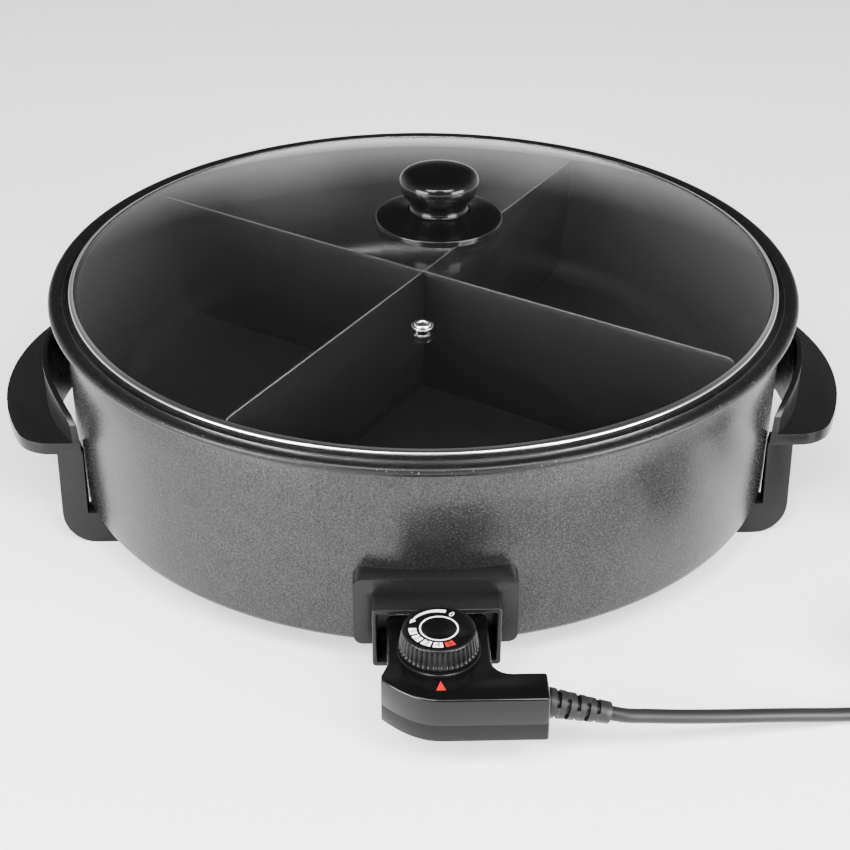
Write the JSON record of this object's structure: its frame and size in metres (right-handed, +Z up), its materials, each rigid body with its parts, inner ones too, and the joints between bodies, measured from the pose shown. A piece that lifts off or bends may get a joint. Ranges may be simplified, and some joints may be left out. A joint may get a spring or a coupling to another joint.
{
  "type": "electric griddle",
  "caption": "Deep round electric pan with hammered outer wall, domed glass lid, crossed divider, side handles that form the feet, and a plug-in probe thermostat with dial and cord.",
  "frame": {"origin": "on the table, under the middle of the appliance without its free cord", "axes": "+Z up, -Y towards the thermostat and the user, +X to the side the cord leaves"},
  "size_m": [0.5705, 0.491, 0.1885],
  "materials": {
    "coated_pan": "satin non-stick coating, finely speckled",
    "hammered_paint": "hammered grey paint",
    "plated_steel": "plain",
    "element_sheath": "heat stained",
    "ceramic": null,
    "black_phenolic": "satin",
    "clear_glass": "clear tempered",
    "bright_steel": "polished",
    "gloss_black": "gloss",
    "case_grey": "fine grain",
    "brass_contact": "plain",
    "switch_plastic": "moulded",
    "red_mark": "printed",
    "cord_rubber": "matt",
    "washer_rubber": "matt"
  },
  "bodies": {
    "base": {"inner_pan": "coated_pan", "outer_jacket": "hammered_paint", "base_plate": "plated_steel", "base_screws": "plated_steel", "heating_element": "element_sheath", "element_straps": "plated_steel", "terminal_bracket": "plated_steel", "terminal_pins": "bright_steel", "pin_insulators": "ceramic", "earth_spring": "brass_contact", "probe_guide": "plated_steel", "thermal_fuse": "plated_steel", "socket_housing": "black_phenolic", "socket_sleeve": "black_phenolic", "socket_screws": "plated_steel", "handle_left": "black_phenolic", "handle_right": "black_phenolic", "handle_screws": "plated_steel"},
    "divider": {"divider_long": "coated_pan", "divider_short": "coated_pan"},
    "lid": {"lid_glass": "clear_glass", "lid_band": "bright_steel", "knob_base": "gloss_black", "knob_grip": "gloss_black", "knob_screw": "plated_steel", "knob_washer": "washer_rubber", "steam_vent": "bright_steel"},
    "control": {"case_top": "gloss_black", "case_bottom": "case_grey", "case_screws": "plated_steel", "probe_tube": "bright_steel", "contact_sleeves": "brass_contact", "earth_blade": "brass_contact", "switch_block": "switch_plastic", "bimetal_strip": "brass_contact", "dial_collar": "black_phenolic", "pointer_mark": "red_mark", "cord_clamp": "case_grey", "strain_relief": "cord_rubber", "cord_run": "cord_rubber", "cord_coil": "cord_rubber", "cord_tail": "cord_rubber", "coil_tie": "cord_rubber", "plug_body": "cord_rubber", "plug_pins": "bright_steel"},
    "dial": {"dial_knob": "black_phenolic", "dial_face": "gloss_black", "dial_shaft": "plated_steel"}
  },
  "joints": [
    {"name": "divider_lift", "type": "slide", "parent": "base", "child": "divider", "axis": [0, 0, 1], "range_m": [0, 0.11]},
    {"name": "lid_lift", "type": "slide", "parent": "divider", "child": "lid", "axis": [0, 0, 1], "range_m": [0, 0.12]},
    {"name": "control_pull", "type": "slide", "parent": "base", "child": "control", "axis": [0, -1, 0], "range_m": [0, 0.09]},
    {"name": "dial_turn", "type": "hinge", "parent": "control", "child": "dial", "pos_m": [0, -0.2095, 0.056], "axis": [0, 0, 1], "range_deg": [-22, 210]}
  ]
}
